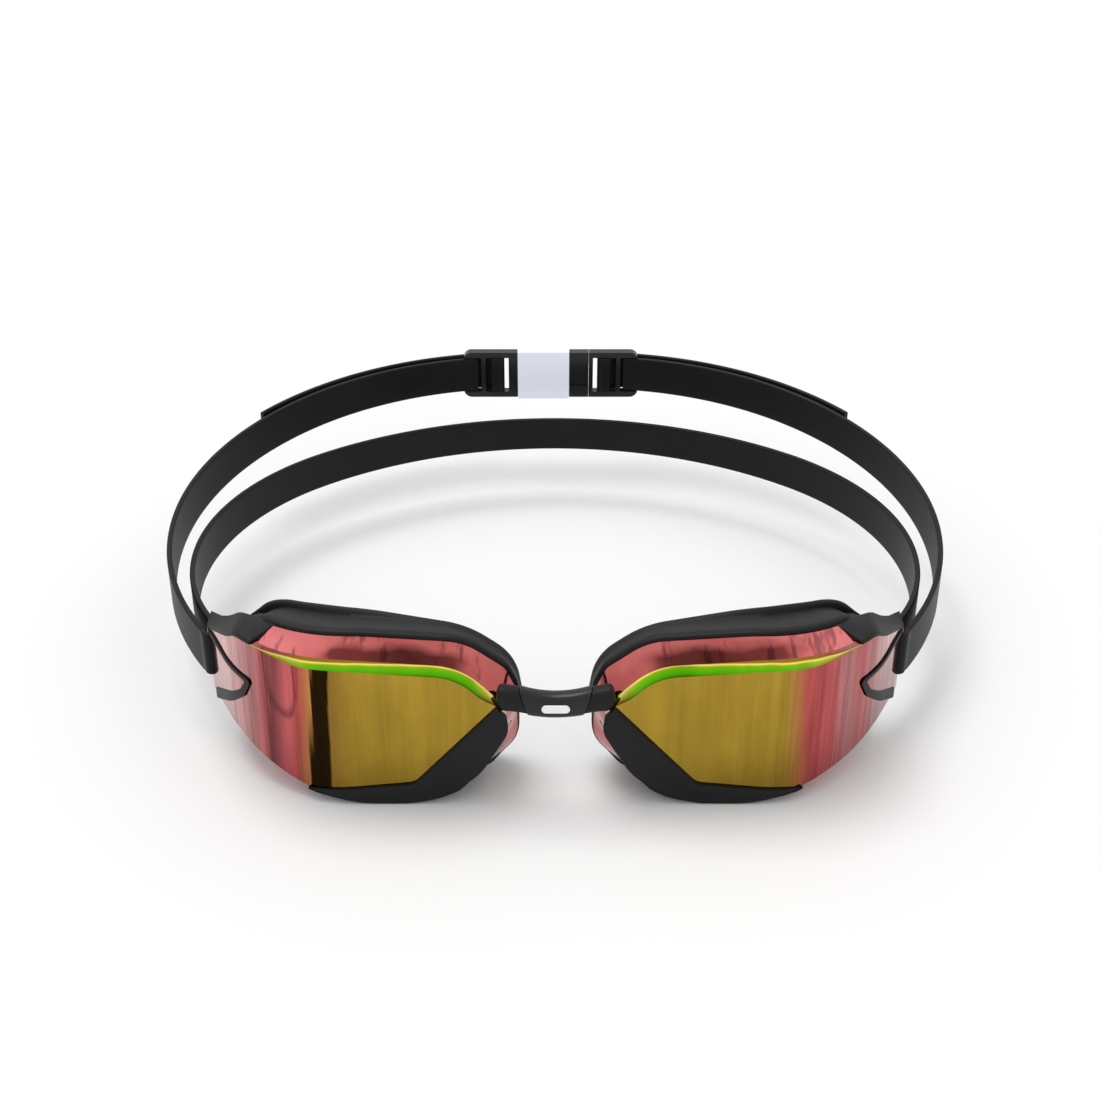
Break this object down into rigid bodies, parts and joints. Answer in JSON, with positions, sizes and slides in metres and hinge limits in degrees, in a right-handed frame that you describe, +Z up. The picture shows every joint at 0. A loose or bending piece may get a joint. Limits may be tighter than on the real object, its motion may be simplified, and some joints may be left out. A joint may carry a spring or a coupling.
{
  "type": "swim goggles",
  "caption": "Racing swim goggles with wraparound mirrored lenses, soft gaskets, a nose bridge and a double strap closed by a rear quick-release clip.",
  "frame": {"origin": "on the table, midway across the width and depth of the whole object", "axes": "+X to the right seen from the front, +Y from the lenses to the rear clip, +Z up"},
  "size_m": [0.2066, 0.1819, 0.0399],
  "materials": {
    "lens": "mirror-coated polycarbonate, gold to red",
    "overmould": "satin soft-touch TPE",
    "gasket": "matte soft TPE",
    "strap": "satin silicone",
    "bridge": "semi-gloss",
    "badge": "smooth white",
    "clip": "fine satin moulding",
    "sleeve": "smooth pale lavender"
  },
  "bodies": {
    "pods": {"right_lens": "lens", "left_lens": "lens", "right_frame": "overmould", "left_frame": "overmould", "right_gasket": "gasket", "left_gasket": "gasket", "right_temple_trim": "overmould", "left_temple_trim": "overmould", "right_strap_fold": "strap", "left_strap_fold": "strap"},
    "nose_bridge": {"bridge_core": "overmould", "bridge_shell": "bridge", "bridge_badge": "badge"},
    "lower_strap": {"lower_strap": "strap"},
    "upper_strap": {"right_upper_strap": "strap", "left_upper_strap": "strap", "clip_socket": "clip", "clip_sleeve": "sleeve"},
    "left_tail": {"left_strap_tail": "strap"},
    "clip_plug": {"clip_plug": "clip"},
    "right_tail": {"right_strap_tail": "strap"},
    "clip_tongue": {"clip_tongue": "clip"}
  },
  "joints": [
    {"name": "bridge_release", "type": "slide", "parent": "pods", "child": "nose_bridge", "axis": [0, -1, 0], "range_m": [0, 0.008]},
    {"name": "lower_strap_tilt", "type": "hinge", "parent": "pods", "child": "lower_strap", "pos_m": [0, -0.0556, 0.02], "axis": [1, 0, 0], "range_deg": [-5, 30], "deforming": ["lower_strap"]},
    {"name": "upper_strap_tilt", "type": "hinge", "parent": "pods", "child": "upper_strap", "pos_m": [0, -0.0556, 0.02], "axis": [1, 0, 0], "range_deg": [-6, 40], "deforming": ["right_upper_strap", "left_upper_strap"]},
    {"name": "clip_release", "type": "slide", "parent": "upper_strap", "child": "clip_plug", "axis": [1, 0, 0], "range_m": [0, 0.012], "deforming": ["right_upper_strap"]},
    {"name": "tongue_press", "type": "hinge", "parent": "clip_plug", "child": "clip_tongue", "pos_m": [0.011, 0.0879, 0.0307], "axis": [0, 0, 1], "range_deg": [-2.5, 0], "stiffness_Nm_per_rad": 0.5},
    {"name": "left_tail_pull", "type": "hinge", "parent": "upper_strap", "child": "left_tail", "pos_m": [-0.012, -0.0013, 0.024], "axis": [0, 0, 1], "range_deg": [0, 8], "deforming": ["left_strap_tail"]},
    {"name": "right_tail_pull", "type": "hinge", "parent": "clip_plug", "child": "right_tail", "pos_m": [0.012, -0.0013, 0.024], "axis": [0, 0, 1], "range_deg": [-8, 0], "deforming": ["right_strap_tail"]}
  ]
}
